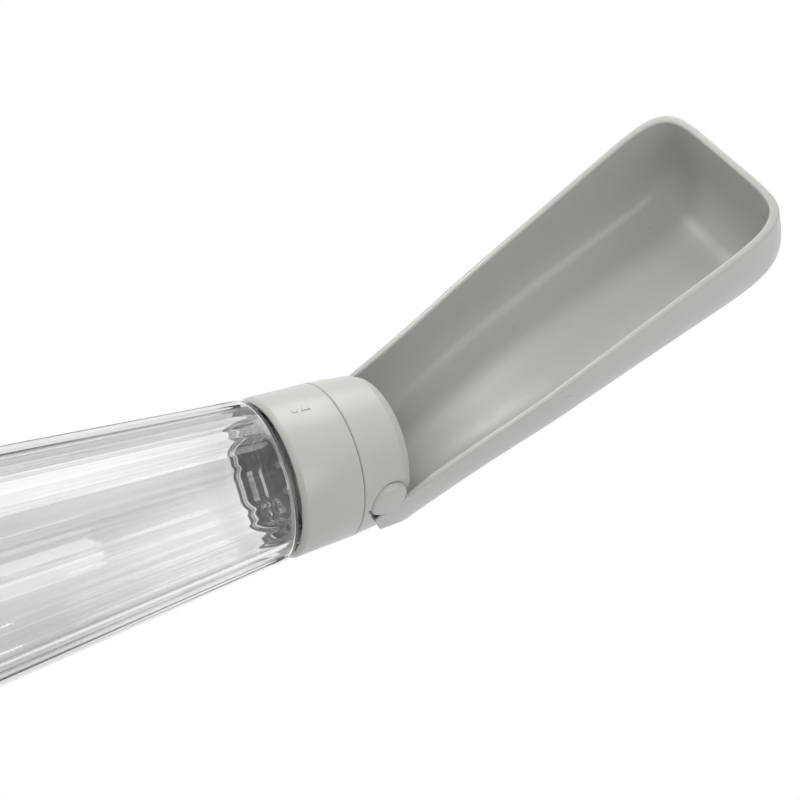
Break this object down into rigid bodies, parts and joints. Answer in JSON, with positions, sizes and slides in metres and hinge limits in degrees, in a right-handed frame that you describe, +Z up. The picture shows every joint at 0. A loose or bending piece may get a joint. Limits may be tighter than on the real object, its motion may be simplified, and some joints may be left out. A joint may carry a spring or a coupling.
{
  "type": "dog travel water bottle",
  "caption": "Clear fluted travel bottle with a screw collar, a twist-valve head ring and a long drinking trough hinged on round ears that folds over the bottle.",
  "frame": {"origin": "middle of the flat face that the bottle stands on", "axes": "+Z up along the bottle's axis, X along the trough's hinge, the trough opens towards -Y"},
  "size_m": [0.0798, 0.158, 0.3397],
  "materials": {
    "clear_plastic": "clear, polished",
    "shell_plastic": "semi-gloss",
    "inner_plastic": "satin",
    "valve_plastic": "satin",
    "pale_silicone": "matte, a little translucent",
    "dark_rubber": "matte",
    "steel": "turned"
  },
  "bodies": {
    "bottle": {"bottle_body": "clear_plastic"},
    "gasket": {"neck_gasket": "pale_silicone"},
    "collar": {"collar_shell": "shell_plastic", "threaded_cap": "inner_plastic", "seat_seal": "pale_silicone", "air_valve": "pale_silicone", "hub_screw": "steel", "hub_washer": "steel", "hub_o_ring": "dark_rubber"},
    "head": {"head_ring": "shell_plastic", "valve_rotor": "valve_plastic", "outlet_spout": "pale_silicone", "friction_washer_left": "dark_rubber", "friction_washer_right": "dark_rubber"},
    "trough": {"trough_shell": "shell_plastic", "heel_seal": "pale_silicone", "hinge_pin_left": "steel", "hinge_pin_right": "steel", "pin_clip_left": "steel", "pin_clip_right": "steel"}
  },
  "joints": [
    {"name": "cap_lift", "type": "slide", "parent": "bottle", "child": "gasket", "axis": [0, 0, 1], "range_m": [0, 0.00801]},
    {"name": "cap_turn", "type": "hinge", "parent": "gasket", "child": "collar", "pos_m": [0, 0, 0.15], "axis": [0, 0, 1], "range_deg": [0, 720]},
    {"name": "valve_turn", "type": "hinge", "parent": "collar", "child": "head", "pos_m": [0, 0, 0.166], "axis": [0, 0, 1], "range_deg": [0, 60]},
    {"name": "trough_fold", "type": "hinge", "parent": "head", "child": "trough", "pos_m": [0, -0.0047, 0.1778], "axis": [1, 0, 0], "range_deg": [0, 130]}
  ],
  "couplings": [
    {"joint": "cap_lift", "follows": "cap_turn", "m_per_rad": 0.00063662}
  ]
}
